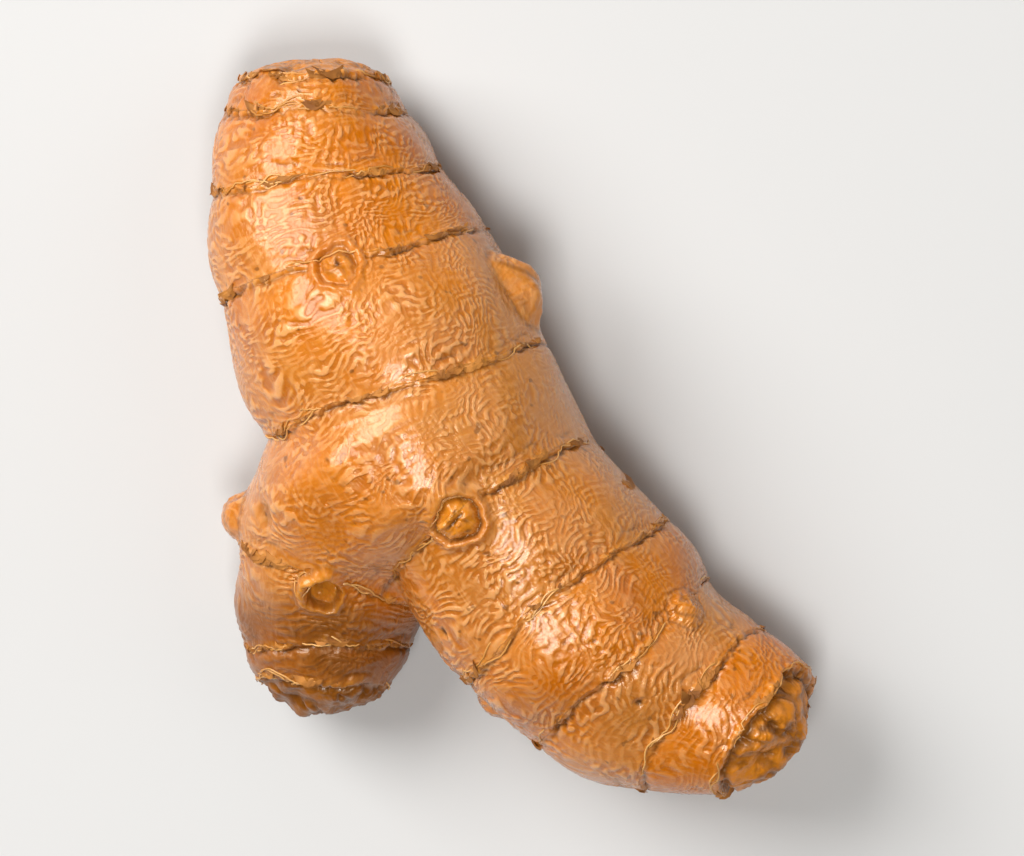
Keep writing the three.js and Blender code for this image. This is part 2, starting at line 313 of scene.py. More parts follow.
def budRelief(bud, places):
    # height over the skin, and how much of a place is bud, dark hollow (partly painted shade and shadow),
    # pale edge and bud's surroundings
    centre, out, tip = placeBud(bud)
    off = places - centre
    radius = bud["across"] / 2
    p, q = off @ tip / bud.get("long", 1), off @ np.cross(out, tip)
    reach = np.hypot(p, q) / radius
    turn = np.arctan2(q, p)
    close = (np.abs(off @ out) < radius * 1.6) & (reach < 1.6)
    rough = 1 + 0.05 * np.sin(3 * turn + bud["at"]) + 0.04 * np.sin(5 * turn + 2 * bud["at"])
    rough += 0.025 * np.sin(11 * turn + bud["at"])
    r = np.where(close, reach / rough, 9.0)
    rise = bud["rise"]
    edge = np.zeros(len(r))
    if bud["kind"] == "eye":
        swirl = np.sin(2 * turn + 10 * r)
        height = 0.5 * rise * bell(r - 0.86, 0.16) - 0.2 * rise * bell(r - 0.66, 0.1)
        height += rise * np.clip(1 - (r / 0.6) ** 2, 0, 1) * (1 + 0.25 * swirl)
        height -= 0.7 * rise * bell(r, 0.14)
        dark = 0.4 * bell(r - 0.68, 0.05) + bell(r, 0.1) + 0.3 * smoothStep(0.5, 0.9, swirl) * (r < 0.55)
        body = 0.4 * smoothStep(0.66, 0.5, r)
    elif bud["kind"] == "dome":
        height = 0.5 * rise * bell(r - 0.9, 0.17) - 0.14 * rise * bell(r - 0.71, 0.07)
        crown = np.sqrt(np.clip(1 - (r / 0.68) ** 2.6, 0, 1))
        height += rise * crown * (1 + 0.1 * np.sin(4 * turn + 6 * r))
        over, across = np.cos(turn - 1.75) * r, np.sin(turn - 1.75) * r
        slit = bell(across, 0.06) * smoothStep(0.42, 0.25, np.abs(over))
        strap = bell(across - 0.2, 0.08) * smoothStep(0.9, 0.7, np.abs(over))
        height += 0.14 * strap - 0.3 * rise * slit
        # the dark ring in the groove round the crown is painted shade
        dark = np.maximum(0.7 * bell(r - 0.72, 0.06), slit)
        for x, y in ((0.2, 0.27), (0.5, 0.11), (-0.35, 0.2)):
            dark = np.maximum(dark, 0.8 * bell(np.hypot(p / radius - x, q / radius - y), 0.07))
        body = smoothStep(0.75, 0.66, r)
        edge = np.maximum(strap, 0.5 * bell(r - 0.9, 0.1) * np.cos(turn - bud.get("flap", 2)).clip(0, 1))
    elif bud["kind"] == "socket":
        shade = 0.5 + 0.5 * np.cos(turn - bud["flap"])  # its rim stands up and curls on one side
        height = 1.4 * rise * bell(r - 0.8, 0.17) * shade**1.5 - 0.8 * smoothStep(0.62, 0.5, r)
        height += 0.1 * rise * np.sin(3 * turn + 9 * r) * (r < 0.5) + 0.3 * bell(r - 0.7, 0.08)
        # the dark ring just outside the curled rim is a painted shadow that the rim casts, and the
        # darkening of the floor under the curl is painted shade
        dark = 0.85 * bell(r - 0.54, 0.06) * (0.6 + 0.4 * shade) + 0.55 * bell(r - 1.03, 0.06) * shade**2
        dark += 0.35 * smoothStep(0.5, 0.3, r) * shade
        body = smoothStep(0.62, 0.52, r)
        edge = np.maximum(bell(r - 0.78, 0.13) * shade**1.5, 0.6 * bell(r - 0.69, 0.06))
    elif bud["kind"] == "knob":
        ribs = np.sin(q / radius * 8 + 3 * np.sin(2 * p / radius + bud["at"]))
        height = rise * smoothStep(1.05, 0.1, r) * (1 + 0.09 * ribs) + 0.12 * bell(r - 0.62, 0.06)
        dark = 0.5 * bell(r - 0.95, 0.06) + 0.45 * smoothStep(0.6, 1.0, -ribs) * smoothStep(0.9, 0.6, r)
        body = bud.get("ochre", 0.55) * smoothStep(0.95, 0.3, r)
    else:
        height = rise * smoothStep(1.0, 0.25, r)
        dark = smoothStep(0.8, 0.3, r) * bud.get("dark", 1.0)
        body = np.zeros(len(r))
    return height, body, np.clip(dark, 0, 1), edge, smoothStep(1.25, 0.95, r)


def joinFingers():
    main, side = (fingerMesh(name + "Finger", rhizome[name]) for name in ("main", "side"))
    union = main.modifiers.new("union", "BOOLEAN")
    union.operation, union.solver, union.object = "UNION", "MANIFOLD", side
    joined = plainMesh(main, "rhizome")
    dropPiece(main)
    dropPiece(side)
    bm = bmesh.new()
    bm.from_mesh(joined)
    bmesh.ops.dissolve_degenerate(bm, dist=0.03, edges=bm.edges)
    stray = [f for f in bm.faces if any(len(e.link_faces) == 1 for e in f.edges)]
    bmesh.ops.delete(bm, geom=stray, context="FACES")  # a loose flap can be left at a pole
    bmesh.ops.delete(bm, geom=[v for v in bm.verts if not v.link_faces], context="VERTS")
    for bud in buds:  # finer skin where a bud stands
        centre = Vector(placeBud(bud)[0])
        reach = bud["across"] * 0.6
        close = [f for f in bm.faces if (f.calc_center_median() - centre).length < reach]
        edges = list({e for f in close for e in f.edges})
        bmesh.ops.subdivide_edges(bm, edges=edges, cuts=1, use_grid_fill=True)
    bmesh.ops.triangulate(bm, faces=[f for f in bm.faces if len(f.verts) > 4])
    bm.to_mesh(joined)
    bm.free()
    return joined


def forkDistance(points):
    # how far points lie outside each finger's plain skin, and the ways out
    main, side = rhizome["main"], rhizome["side"]
    u, angle, radius = locate(main, points)
    a = radius - plainRadius(main, u, angle)
    outA = along(main, "right", u) * np.sin(angle)[:, None] + up * np.cos(angle)[:, None]
    v, turn, reach = locate(side, points)
    b = reach - plainRadius(side, v, turn)
    outB = along(side, "right", v) * np.sin(turn)[:, None] + up * np.cos(turn)[:, None]
    start = along(side, "centre", np.array([rhizome["forkRoot"]]))[0]
    early = v < rhizome["forkRoot"]  # behind its root the side finger ends in a round
    gap = points - start
    length = np.linalg.norm(gap, axis=1)
    b = np.where(early, length - along(side, "half", np.array([rhizome["forkRoot"]]))[0], b)
    outB = np.where(early[:, None], gap / np.maximum(length, 1e-6)[:, None], outB)
    return (u, angle, a, outA), (v, turn, b, outB)


def settleSkin(points):
    # every place on the fingers' plain skin, with the fork's crease rounded
    for _ in range(4):
        (u, angle, a, outA), (v, turn, b, outB) = forkDistance(points)
        begun = smoothStep(rhizome["forkStart"], rhizome["forkStart"] + rhizome["forkFade"], u)
        ended = smoothStep(rhizome["forkEnd"] - rhizome["forkFade"], rhizome["forkEnd"], u)
        reach = np.maximum(rhizome["forkReach"] * begun * (1 - ended), 0.05)
        apart = np.clip((a - b) / reach, -1, 1)
        level = np.minimum(a, b) - reach * (1 - np.abs(apart)) ** 2 / 4
        way = outA * (1 - apart)[:, None] + outB * (1 + apart)[:, None]
        way /= np.maximum(np.linalg.norm(way, axis=1), 1e-6)[:, None]
        mainRings, sideRings = (
            [ringDistance(rhizome[name]["rings"][k], turned) for k in (0, -1)]
            for name, turned in (("main", angle), ("side", turn)))
        onMain, onSide = a <= b, b < a
        cap = onMain & ((u < mainRings[0]) | (u > mainRings[1])) | onSide & (v > sideRings[1])
        points = points - way * np.where(cap, 0, np.clip(level, -1.5, 1.5))[:, None]
    return points


def ringWaves(angle, phase):
    # uneven strength along a ring, from 0 to 1
    waves = np.sin(3 * angle + phase) + np.sin(8 * angle + 2.7 * phase)
    waves += 0.7 * np.sin(17 * angle + 4.1 * phase)
    return np.clip(0.55 + 0.28 * waves, 0.08, 1)


def fray(angle, phase):
    # small, close teeth along a ring, from -1 to 1
    teeth = np.sin(23 * angle + phase + 2 * np.sin(5 * angle)) + 0.8 * np.sin(38 * angle + 3.1 * phase)
    return (teeth + 0.7 * np.sin(61 * angle + 1.7 * phase + 2 * np.sin(9 * angle))) / 2.5


def fingerRelief(finger, u, angle):
    rings, band, share = bandOf(finger, u, angle)
    height, lip, line = (np.zeros(len(u)) for _ in range(3))
    for ring, place in zip(finger["rings"], rings):
        teeth = fray(angle, ring["at"])
        past = u - place + rhizome["toothLength"] * teeth
        strength = ringWaves(angle, ring["at"]) * (0.62 + 0.38 * fray(angle + 0.3, 2 * ring["at"]))
        crack = ringWaves(angle + 0.4, 3.3 * ring["at"])
        gap = past - rhizome["grooveOffset"]
        height += rhizome["lipHeight"] * strength * bell(past, rhizome["lipWidth"])
        height -= rhizome["grooveDepth"] * crack * bell(gap, rhizome["grooveWidth"])
        lip += strength * bell(past, 0.34)
        line += (0.3 + 0.7 * crack) * bell(gap, 0.13 + 0.1 * crack)
        beside = past + rhizome["besideOffset"] + 0.35 * np.sin(5 * angle + ring["at"])
        broken = smoothStep(0.55, 0.95, ringWaves(angle + 1.1, 5.7 * ring["at"]))
        height -= rhizome["besideDepth"] * broken * bell(beside, 0.2)
        line += 0.55 * broken * bell(beside, 0.14)
    tone = np.array(finger["orange"])
    orange = bandValue(tone[1:-1], band, share)
    orange = np.where(u < rings[0], tone[0], np.where(u > rings[-1], tone[-1], orange))
    # the right flank turns more orange on clear bands and less on dull ones, the left flank the reverse
    orange = orange + np.sin(angle) * (0.35 - 0.6 * bandValue(finger["rightDullness"], band, share))
    scar = np.maximum(smoothStep(0.1, -0.5, u - rings[0]), smoothStep(0.1, 0.7, u - rings[-1]))
    return height, np.clip(lip, 0, 1), np.clip(line, 0, 1), orange, scar


def unevenness(points, wave, phase):
    # slow lumps from a few crossed waves
    rng = np.random.default_rng(int(phase * 10))
    total = np.zeros(len(points))
    for _ in range(7):
        way = rng.normal(size=3)
        way *= 2 * math.pi / wave / np.linalg.norm(way) * rng.uniform(0.7, 1.4)
        total += np.sin(points @ way + rng.uniform(0, 6.28))
    return total / 7**0.5


def wrinkleCoords(finger, u, angle, radius):
    # each band between two rings has wrinkles of its own
    _, band, share = bandOf(finger, u, angle)
    coords = np.stack([u + 41.3 * band, np.sin(angle) * radius, np.cos(angle) * radius], -1)
    # a duller, greyer tone on each band's right flank, as strong as the band's dull value
    dust = bandValue(finger["rightDullness"], band, share) * smoothStep(0.15, 0.95, np.sin(angle))
    return coords, np.array(finger["still"])[band], dust


# The two tips and the first end: how far lumps rise, how deep cracks are, and how dark.
endScars = {
    "lumps": 0.1, "sink": 0.15, "knobs": 0.24,
    "cracks": 0.3, "cleft": 0.5, "pits": 0.35,
    "crackDark": 0.45, "cleftDark": 0.85, "pitDark": 0.8,
    "slowLumps": 0.16,  # over the whole skin
}


def shapeRhizome():
    mesh = joinFingers()
    places = settleSkin(getPlaces(mesh))
    setPlaces(mesh, places)
    normals = getNormals(mesh)
    (u, angle, a, _), (v, turn, b, _) = forkDistance(places)
    sideShare = smoothStep(-2.5, 2.5, a - b)
    main = fingerRelief(rhizome["main"], u, angle)
    side = fingerRelief(rhizome["side"], v, turn)
    grown = smoothStep(rhizome["forkRoot"] + 1, rhizome["forkRoot"] + 4, v)
    side = [s * grown for s in side[:3]] + list(side[3:])
    height, lip, line, orange, scar = (m * (1 - sideShare) + s * sideShare for m, s in zip(main, side))
    crotch = 1 - smoothStep(0.5, 4.0, a - b)
    line = np.maximum(line, main[2] * crotch)
    budBody, dark, calm = (np.zeros(len(places)) for _ in range(3))
    for bud in buds:
        rise, body, hollow, edge, quiet = budRelief(bud, places)
        height = height * (1 - quiet) + rise
        lip = lip * (1 - quiet) + edge
        line *= 1 - quiet
        budBody = np.maximum(budBody, body)
        dark = np.maximum(dark, hollow)
        calm = np.maximum(calm, (0.2 if bud["kind"] == "knob" else 0.7) * quiet)
    tipShare = smoothStep(70, 74, u) * (1 - sideShare)
    ends = scar * np.maximum(tipShare, sideShare)
    scarLumps = (scar * (endScars["lumps"] * unevenness(places, 2.6, 5.0) - endScars["sink"] * tipShare)
                 + endScars["knobs"] * ends * unevenness(places, 3.4, 5.5))
    crossed = unevenness(places, 5.0, 7.0) + 0.4 * unevenness(places, 2.4, 9.0)
    cracks = ends * smoothStep(0.5, 0.1, np.abs(crossed))
    inside = u - ringDistance(rhizome["main"]["rings"][-1], angle) + 0.25 * unevenness(places, 3.0, 8.0)
    cleft = tipShare * bell(inside - 0.75, 0.3)
    pits = ends * smoothStep(0.9, 1.5, unevenness(places, 2.2, 6.0))
    height += (scarLumps + endScars["slowLumps"] * unevenness(places, 9.0, 2.0) - endScars["cleft"] * cleft
               - endScars["pits"] * pits - endScars["cracks"] * cracks)
    dark = np.maximum.reduce([
        dark, endScars["cleftDark"] * cleft, endScars["pitDark"] * pits, endScars["crackDark"] * cracks])
    places = places + normals * height[:, None]
    places[:, 2] = np.maximum(places[:, 2], 0)  # flat where it rests
    setPlaces(mesh, places * mm)
    mainRadius = a + plainRadius(rhizome["main"], u, angle)
    sideRadius = np.linalg.norm(places - along(rhizome["side"], "centre", v), axis=1)
    mainCoords, mainStill, mainDull = wrinkleCoords(rhizome["main"], u, angle, mainRadius)
    sideCoords, sideStill, sideDull = wrinkleCoords(rhizome["side"], v, turn, sideRadius)
    setAttribute(mesh, "mainCoords", mainCoords)
    setAttribute(mesh, "sideCoords", sideCoords + (500, 0, 0))
    flat = smoothStep(0.6, 0.1, places[:, 2])
    calm = np.maximum.reduce([calm, 0.6 * lip, mainStill * (1 - sideShare) + sideStill * sideShare, flat])
    # the side finger's end browned: partly its own brown stain, partly painted shade where it curves down
    # out of the light
    brown = 0.9 * sideShare * smoothStep(16, 23, v)
    setAttribute(mesh, "dust", mainDull * (1 - sideShare) + sideDull * sideShare)
    for name, values in (("sideShare", sideShare), ("orange", orange), ("lip", lip), ("ringLine", line),
                         ("bud", budBody), ("hollow", dark), ("scar", scar), ("calm", calm),
                         ("brown", brown)):
        setAttribute(mesh, name, np.clip(values, 0, 1))
    return linkPiece("rhizome_skin", mesh)


def addNode(tree, kind, values=None, **settings):
    # a node with its settings, and its inputs as values or links
    node = tree.nodes.new(kind)
    for key, value in settings.items():
        setattr(node, key, value)
    for key, value in (values or {}).items():
        if isinstance(value, bpy.types.NodeSocket):
            tree.links.new(value, node.inputs[key])
        else:
            node.inputs[key].default_value = value
    return node


def newTree(name, sockets):
    tree = bpy.data.node_groups.new(name, "GeometryNodeTree")
    tree.interface.new_socket("Geometry", in_out="INPUT", socket_type="NodeSocketGeometry")
    for label, kind in sockets:
        tree.interface.new_socket(label, in_out="INPUT", socket_type="NodeSocket" + kind)
    tree.interface.new_socket("Geometry", in_out="OUTPUT", socket_type="NodeSocketGeometry")
    return tree, tree.nodes.new("NodeGroupInput"), tree.nodes.new("NodeGroupOutput")


def finishTree(tree, geometry, material, output):
    real = addNode(tree, "GeometryNodeRealizeInstances", {"Geometry": geometry})
    dressed = addNode(tree, "GeometryNodeSetMaterial", {"Geometry": real.outputs[0], "Material": material})
    tree.links.new(dressed.outputs[0], output.inputs[0])


def runTree(piece, tree, values):
    # sets the inputs by their identifiers, then swaps the piece's mesh for the result
    modifier = piece.modifiers.new(tree.name, "NODES")
    modifier.node_group = tree
    for item in tree.interface.items_tree:
        if item.in_out == "INPUT" and item.name in values:
            modifier[item.identifier] = values[item.name]
    made = plainMesh(piece, piece.name)
    made.materials.clear()  # drops an empty slot that the tree can leave
    made.materials.append(values["Material"])
    piece.modifiers.clear()
    old = piece.data
    piece.data = made
    bpy.data.meshes.remove(old)
    return piece


def math2(tree, operation, a, b):
    return addNode(tree, "ShaderNodeMath", {0: a, 1: b}, operation=operation).outputs[0]


def times(tree, a, b):
    return math2(tree, "MULTIPLY", a, b)


def plus(tree, a, b):
    return math2(tree, "ADD", a, b)


def vectorMath(tree, operation, a, b):
    return addNode(tree, "ShaderNodeVectorMath", {0: a, 1: b}, operation=operation).outputs[0]


def scaled(tree, vector, amount):
    return addNode(tree, "ShaderNodeVectorMath", {0: vector, "Scale": amount}, operation="SCALE").outputs[0]


def blend(tree, share, a, b):
    return addNode(tree, "ShaderNodeMix", {0: share, 2: a, 3: b}).outputs[0]


def ramp(tree, value, low, high, start=0.0, end=1.0):
    node = addNode(tree, "ShaderNodeMapRange", {"Value": value, 1: low, 2: high, 3: start, 4: end})
    return node.outputs[0]


def named(tree, name, kind="FLOAT"):
    return addNode(tree, "GeometryNodeInputNamedAttribute", {"Name": name}, data_type=kind).outputs[0]


wrinkles = {
    "Fold Height": 0.16 * mm, "Fold Size": 0.7, "Seed": 4.0,
    "ways": (((1.0, 0.0, 0.0), 1.0), ((0.4, 0.65, -0.65), 0.9)),  # across which folds run, and how strong
    "drift": 3.2, "driftScale": 0.28,  # how far the folds wander, and how soon they turn
    "beatScale": 0.95, "apartScale": 0.36,  # how soon a fold ends, and where there are fewer
    "askewAxis": (0.48, 0.62, 0.62), "askewAngle": 0.9,  # turns the noise out of line with a finger
    "dustCalm": 0.4,  # lower folds where the skin is dull
}


def foldPattern(tree, coords, size, seed):
    # short winding folds, close together: waves whose strength and phase come and go
    def spread(vector, scale, w):
        askew = addNode(tree, "ShaderNodeVectorRotate", {
            "Vector": vector, "Axis": wrinkles["askewAxis"], "Angle": wrinkles["askewAngle"]}).outputs[0]
        node = addNode(tree, "ShaderNodeTexNoise", {"Vector": askew, "W": w, "Scale": scale, "Detail": 0.0},
                       noise_dimensions="4D")
        return vectorMath(tree, "SUBTRACT", node.outputs["Color"], (0.5, 0.5, 0.5))

    drift = scaled(tree, spread(coords, wrinkles["driftScale"], seed), wrinkles["drift"])
    moved = vectorMath(tree, "ADD", coords, drift)
    pace = math2(tree, "DIVIDE", 2 * math.pi, size)
    total = None
    for way, share in wrinkles["ways"]:
        beat = spread(moved, wrinkles["beatScale"], plus(tree, seed, 9 * share))
        beat = addNode(tree, "ShaderNodeSeparateXYZ", {0: beat})
        place = addNode(tree, "ShaderNodeVectorMath", {0: moved, 1: way}, operation="DOT_PRODUCT")
        turn = times(tree, place.outputs["Value"], pace)
        for k, operation in enumerate(("SINE", "COSINE")):
            wave = times(tree, math2(tree, operation, turn, 0.0), beat.outputs[k])
            wave = times(tree, wave, share)
            total = wave if total is None else plus(tree, total, wave)
    ridge = addNode(tree, "ShaderNodeMapRange", {"Value": total, 1: -0.16, 2: 0.2, 3: -0.5, 4: 0.5},
                    interpolation_type="SMOOTHSTEP").outputs[0]
    apart = addNode(tree, "ShaderNodeSeparateXYZ", {0: spread(coords, wrinkles["apartScale"], 31.0)})
    apart = ramp(tree, apart.outputs[0], -0.12, 0.1, 0.3, 1.0)
    return plus(tree, times(tree, ridge, apart), 0.5)


def wrinkleTree():
    tree, given, out = newTree("skinWrinkles", [
        ("Fold Height", "Float"), ("Fold Size", "Float"), ("Seed", "Float"), ("Material", "Material")])
    g = given.outputs
    folds = [foldPattern(tree, named(tree, name, "FLOAT_VECTOR"), g["Fold Size"], g["Seed"])
             for name in ("mainCoords", "sideCoords")]
    fold = blend(tree, named(tree, "sideShare"), *folds)
    lively = times(tree, fold, math2(tree, "SUBTRACT", 1.0, named(tree, "calm")))
    fresh = math2(tree, "SUBTRACT", 1.0, times(tree, named(tree, "dust"), wrinkles["dustCalm"]))
    lift = times(tree, times(tree, lively, g["Fold Height"]), fresh)
    normal = addNode(tree, "GeometryNodeInputNormal").outputs[0]
    raised = addNode(tree, "GeometryNodeSetPosition", {
        "Geometry": g["Geometry"], "Offset": scaled(tree, normal, lift)})
    finishTree(tree, raised.outputs[0], g["Material"], out)
    return tree


# Papery scales along the rings: a few large ones at set places, the rest in clumps.
flakes = {
    "Smallest": 0.4, "Largest": 1.0, "Lean": 0.35, "Ragged": 0.5 * mm, "Seed": 7,
    "perRing": 24, "raggedScale": 1100.0,
    "tones": ((0.48, 0.19, 0.036), (0.2, 0.068, 0.012)), "roughness": 0.6, "specular": 0.2,
    "big": [{"at": 50.4, "turn": 84, "size": 2.0}, {"at": 1.5, "turn": -18, "size": 1.1},
            {"at": 1.4, "turn": 14, "size": 0.9}, {"at": 75.9, "turn": 20, "size": 1.0}],
}


def flakeMesh():
    # one papery scale: rooted below the skin, rising and curling towards the tip
    across, deep = 5, 3
    top = []
    for j in range(deep):
        for i in range(across):
            x = (i / (across - 1) - 0.5) * (2.6 - 0.7 * j)
            y = -0.25 + 0.4 * j - 0.16 * abs(x)
            z = (-0.12, 0.1, 0.12)[j] - 0.06 * x * x
            top.append((x, y, z))
    low = [(x, y, z - 0.09) for x, y, z in top]
    count = len(top)
    faces = []
    for j in range(deep - 1):
        for i in range(across - 1):
            k = j * across + i
            faces.append((k, k + 1, k + 1 + across, k + across))
            faces.append((count + k, count + k + across, count + k + 1 + across, count + k + 1))
    rim = list(range(across)) + [across * (j + 1) - 1 for j in range(1, deep)]
    rim += range(across * deep - 2, across * (deep - 1) - 1, -1)
    rim += [across * j for j in range(deep - 2, 0, -1)]
    for k, r in enumerate(rim):
        n = rim[(k + 1) % len(rim)]
        faces.append((r, count + r, count + n, n))
    mesh = bpy.data.meshes.new("flake")
    mesh.from_pydata([tuple(c * mm for c in p) for p in top + low], [], faces)
    mesh.update()
    return mesh


def flakeTree():
    tree, given, out = newTree("ringFlakes", [
        ("Flake", "Object"), ("Smallest", "Float"), ("Largest", "Float"), ("Lean", "Float"),
        ("Ragged", "Float"), ("Seed", "Int"), ("Material", "Material")])
    g = given.outputs
    flake = addNode(tree, "GeometryNodeObjectInfo", {"Object": g["Flake"], "As Instance": True})
    normal, way = (named(tree, name, "FLOAT_VECTOR") for name in ("skinNormal", "skinAlong"))
    upright = addNode(tree, "FunctionNodeAlignRotationToVector", {"Vector": normal}, axis="Z").outputs[0]
    turned = addNode(tree, "FunctionNodeAlignRotationToVector", {"Rotation": upright, "Vector": way},
                     axis="Y", pivot_axis="Z").outputs[0]
    low, high = (addNode(tree, "ShaderNodeCombineXYZ", {0: lean, 1: 0.0, 2: lean}).outputs[0]
                 for lean in (times(tree, g["Lean"], -1.0), g["Lean"]))
    nod = addNode(tree, "FunctionNodeRandomValue", {0: low, 1: high, "Seed": g["Seed"]},
                  data_type="FLOAT_VECTOR").outputs[0]
    nod = addNode(tree, "FunctionNodeEulerToRotation", {0: nod}).outputs[0]
    leaning = addNode(tree, "FunctionNodeRotateRotation", {0: turned, 1: nod}, rotation_space="LOCAL")
    size = addNode(tree, "FunctionNodeRandomValue", {2: g["Smallest"], 3: g["Largest"], "Seed": g["Seed"]},
                   data_type="FLOAT").outputs[1]
    placed = addNode(tree, "GeometryNodeInstanceOnPoints", {
        "Points": g["Geometry"], "Instance": flake.outputs["Geometry"], "Rotation": leaning.outputs[0],
        "Scale": times(tree, size, named(tree, "flakeSize"))})
    real = addNode(tree, "GeometryNodeRealizeInstances", {"Geometry": placed.outputs[0]})
    noise = addNode(tree, "ShaderNodeTexNoise", {"Scale": flakes["raggedScale"], "Detail": 1.0})
    push = scaled(tree, vectorMath(tree, "SUBTRACT", noise.outputs["Color"], (0.5, 0.5, 0.5)), g["Ragged"])
    ragged = addNode(tree, "GeometryNodeSetPosition", {"Geometry": real.outputs[0], "Offset": push})
    finishTree(tree, ragged.outputs[0], g["Material"], out)
    return tree


def openRings(finger):
    # the side finger's first ring lies inside the main finger
    return finger["rings"][1:] if finger is rhizome["side"] else finger["rings"]


def flakeSeeds(skin):
    # places on the rings of the finished skin, in clumps
    places = getPlaces(skin.data) / mm
    normals = getNormals(skin.data)
    (u, angle, a, _), (v, turn, b, _) = forkDistance(places)
    free = np.ones(len(places), bool)
    for bud in buds:
        free &= np.linalg.norm(places - placeBud(bud)[0], axis=1) > 0.6 * bud["across"] + 0.8
    rng = np.random.default_rng(rhizome["seed"])
    picks, sizes = [], []
    courses = ((rhizome["main"], u, angle, b > 1.5), (rhizome["side"], v, turn, a > 1.0))
    for finger, dist, phi, clear in courses:
        for ring in openRings(finger):
            off = np.abs(dist - ringDistance(ring, phi))
            close = np.flatnonzero((off < 0.09) & clear & free & (places[:, 2] > 1.0))
            if not len(close):
                continue
            chance = ringWaves(phi[close], ring["at"]) ** 3 + 0.02
            count = min(flakes["perRing"], len(close))
            chosen = rng.choice(close, count, replace=False, p=chance / chance.sum())
            picks += list(chosen)
            sizes += list(rng.uniform(0.7, 1.25, count))
    for big in flakes["big"]:
        near = np.hypot(u - big["at"], (np.degrees(angle) - big["turn"]) * 0.19)
        picks.append(int(near.argmin()))
        sizes.append(big["size"])
    picks = np.array(picks)
    mainWay, sideWay = along(rhizome["main"], "along", u[picks]), along(rhizome["side"], "along", v[picks])
    way = np.where((a < b)[picks][:, None], mainWay, sideWay)
    mesh = bpy.data.meshes.new("ring_flakes")
    mesh.from_pydata((places[picks] * mm).tolist(), [], [])
    setAttribute(mesh, "skinNormal", normals[picks])
    setAttribute(mesh, "skinAlong", way)
    setAttribute(mesh, "flakeSize", np.array(sizes))
    return linkPiece("ring_flakes", mesh)


# Frayed fibres along the rings and round some buds.
strands = {
    "Thickness": 0.085 * mm, "Sides": 5, "perRing": 9, "reach": (2.0, 7.0), "lift": 0.2, "wander": 0.32,
    "step": 0.28, "perBud": 4, "budPoints": 14, "budLift": 0.25,
    "tones": ((0.68, 0.36, 0.11), (0.5, 0.2, 0.03)), "roughness": (0.24, 0.4),
}


def strandLines(skin):
    # frayed fibres along the rings, tucked into the skin at both ends
    surface = BVHTree.FromPolygons(
        [v.co for v in skin.data.vertices], [p.vertices for p in skin.data.polygons])
    rng = np.random.default_rng(rhizome["seed"] + 1)
    spots, edges, thick = [], [], []
    for finger in (rhizome["main"], rhizome["side"]):
        for ring in openRings(finger):
            for _ in range(strands["perRing"]):
                radius = float(along(finger, "half", np.array([ring["at"]]))[0])
                length = rng.uniform(*strands["reach"])
                count = max(8, int(length / strands["step"]))
                angle = rng.uniform(0, 2 * math.pi) + np.linspace(0, length / radius, count)
                wave = np.sin(np.linspace(0, length * rng.uniform(0.8, 1.6), count) + rng.uniform(0, 6.3))
                u = ringDistance(ring, angle) + rng.normal(0, 0.2) + strands["wander"] * wave
                share = np.linspace(0, 1, count)
                lift = strands["lift"] * (np.sin(math.pi * share) ** 0.5 * rng.uniform(0.3, 1.0) - 0.25)
                plain = sectionPoint(finger, u, angle, plainRadius(finger, u, angle))
                if plain[:, 2].min() < 1.0:
                    continue
                first = len(spots)
                for place, high in zip(plain * mm, lift * mm):
                    near, normal, _, _ = surface.find_nearest(Vector(place))
                    spots.append(near + normal * high)
                thick += list(0.55 + 0.6 * np.sin(math.pi * share))
                edges += [(k, k + 1) for k in range(first, len(spots) - 1)]
    for bud in buds:  # a few round the rims of the buds too
        if bud["kind"] not in ("dome", "socket"):
            continue
        centre, out, tip = placeBud(bud)
        side = np.cross(out, tip)
        for _ in range(strands["perBud"]):
            radius = bud["across"] / 2 * rng.uniform(0.72, 0.98)
            count = strands["budPoints"]
            start = bud.get("flap", 2) - rng.uniform(0.4, 1.4)
            angle = start + np.linspace(0, rng.uniform(1.0, 2.0), count)
            first = len(spots)
            for share, a in zip(np.linspace(0, 1, count), angle):
                place = centre + out * 0.8 + (tip * math.cos(a) + side * math.sin(a)) * radius
                near, normal, _, _ = surface.find_nearest(Vector(place * mm))
                spots.append(near + normal * strands["budLift"] * mm * (math.sin(math.pi * share) - 0.2))
                thick.append(0.6 + 0.9 * math.sin(math.pi * share))
            edges += [(k, k + 1) for k in range(first, len(spots) - 1)]
    mesh = bpy.data.meshes.new("ring_strands")
    mesh.from_pydata(spots, edges, [])
    setAttribute(mesh, "thick", np.array(thick))
    return linkPiece("ring_strands", mesh)


def strandTree():
    tree, given, out = newTree("ringStrands", [
        ("Thickness", "Float"), ("Sides", "Int"), ("Material", "Material")])
    g = given.outputs
    curve = addNode(tree, "GeometryNodeMeshToCurve", {0: g["Geometry"]}).outputs[0]
    sized = addNode(tree, "GeometryNodeSetCurveRadius", {"Curve": curve, "Radius": named(tree, "thick")})
    circle = addNode(tree, "GeometryNodeCurvePrimitiveCircle", {
        "Resolution": g["Sides"], "Radius": g["Thickness"]})
    tube = addNode(tree, "GeometryNodeCurveToMesh", {
        "Curve": sized.outputs[0], "Profile Curve": circle.outputs[0], "Fill Caps": True})
    finishTree(tree, tube.outputs[0], g["Material"], out)
    return tree


def newMaterial(name):
    material = bpy.data.materials.new(name)
    material.use_nodes = True
    tree = material.node_tree
    return material, tree, tree.nodes["Principled BSDF"]


def colourMix(tree, share, a, b):
    node = addNode(tree, "ShaderNodeMix", data_type="RGBA")
    for socket, value in ((0, share), (6, a), (7, b)):
        if isinstance(value, bpy.types.NodeSocket):
            tree.links.new(value, node.inputs[socket])
        else:
            node.inputs[socket].default_value = value if socket == 0 else (*value, 1)
    return node.outputs[2]


